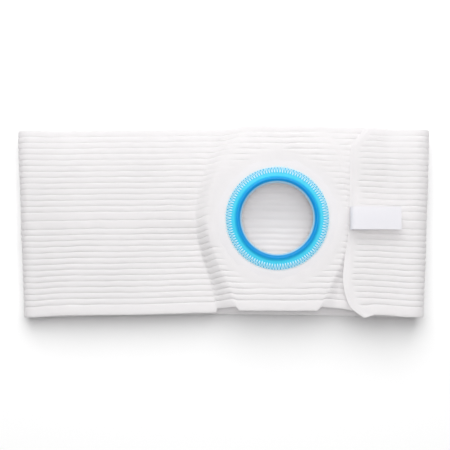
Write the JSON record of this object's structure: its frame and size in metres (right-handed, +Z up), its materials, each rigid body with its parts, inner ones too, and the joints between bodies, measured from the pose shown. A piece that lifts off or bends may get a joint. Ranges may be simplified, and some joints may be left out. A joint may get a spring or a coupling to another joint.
{
  "type": "hernia support belt",
  "caption": "Wide ribbed elastic support belt closed into a flat-lying loop, with a round plastic pouch opening on a raised panel, a hook closure flap and a pull tab.",
  "frame": {"origin": "on the table, under the middle of the lying belt's bounding box", "axes": "+X along the flattened loop, towards the closure; +Y across the band, to its upper edge; +Z up from the table, out of the front with the opening"},
  "size_m": [0.3938, 0.1816, 0.045],
  "materials": {
    "elastic": "white ribbed knitted elastic, matte",
    "facing": "smooth white cloth, matte",
    "ring": "bright blue flexible plastic, glossy",
    "hook": "white hook fastener tape",
    "tab": "smooth white tape, slight sheen"
  },
  "bodies": {
    "root": {"elastic_band": "elastic", "opening_facing": "facing", "opening_ring": "ring", "hook_patch": "hook", "pull_tab": "tab"}
  },
  "joints": []
}
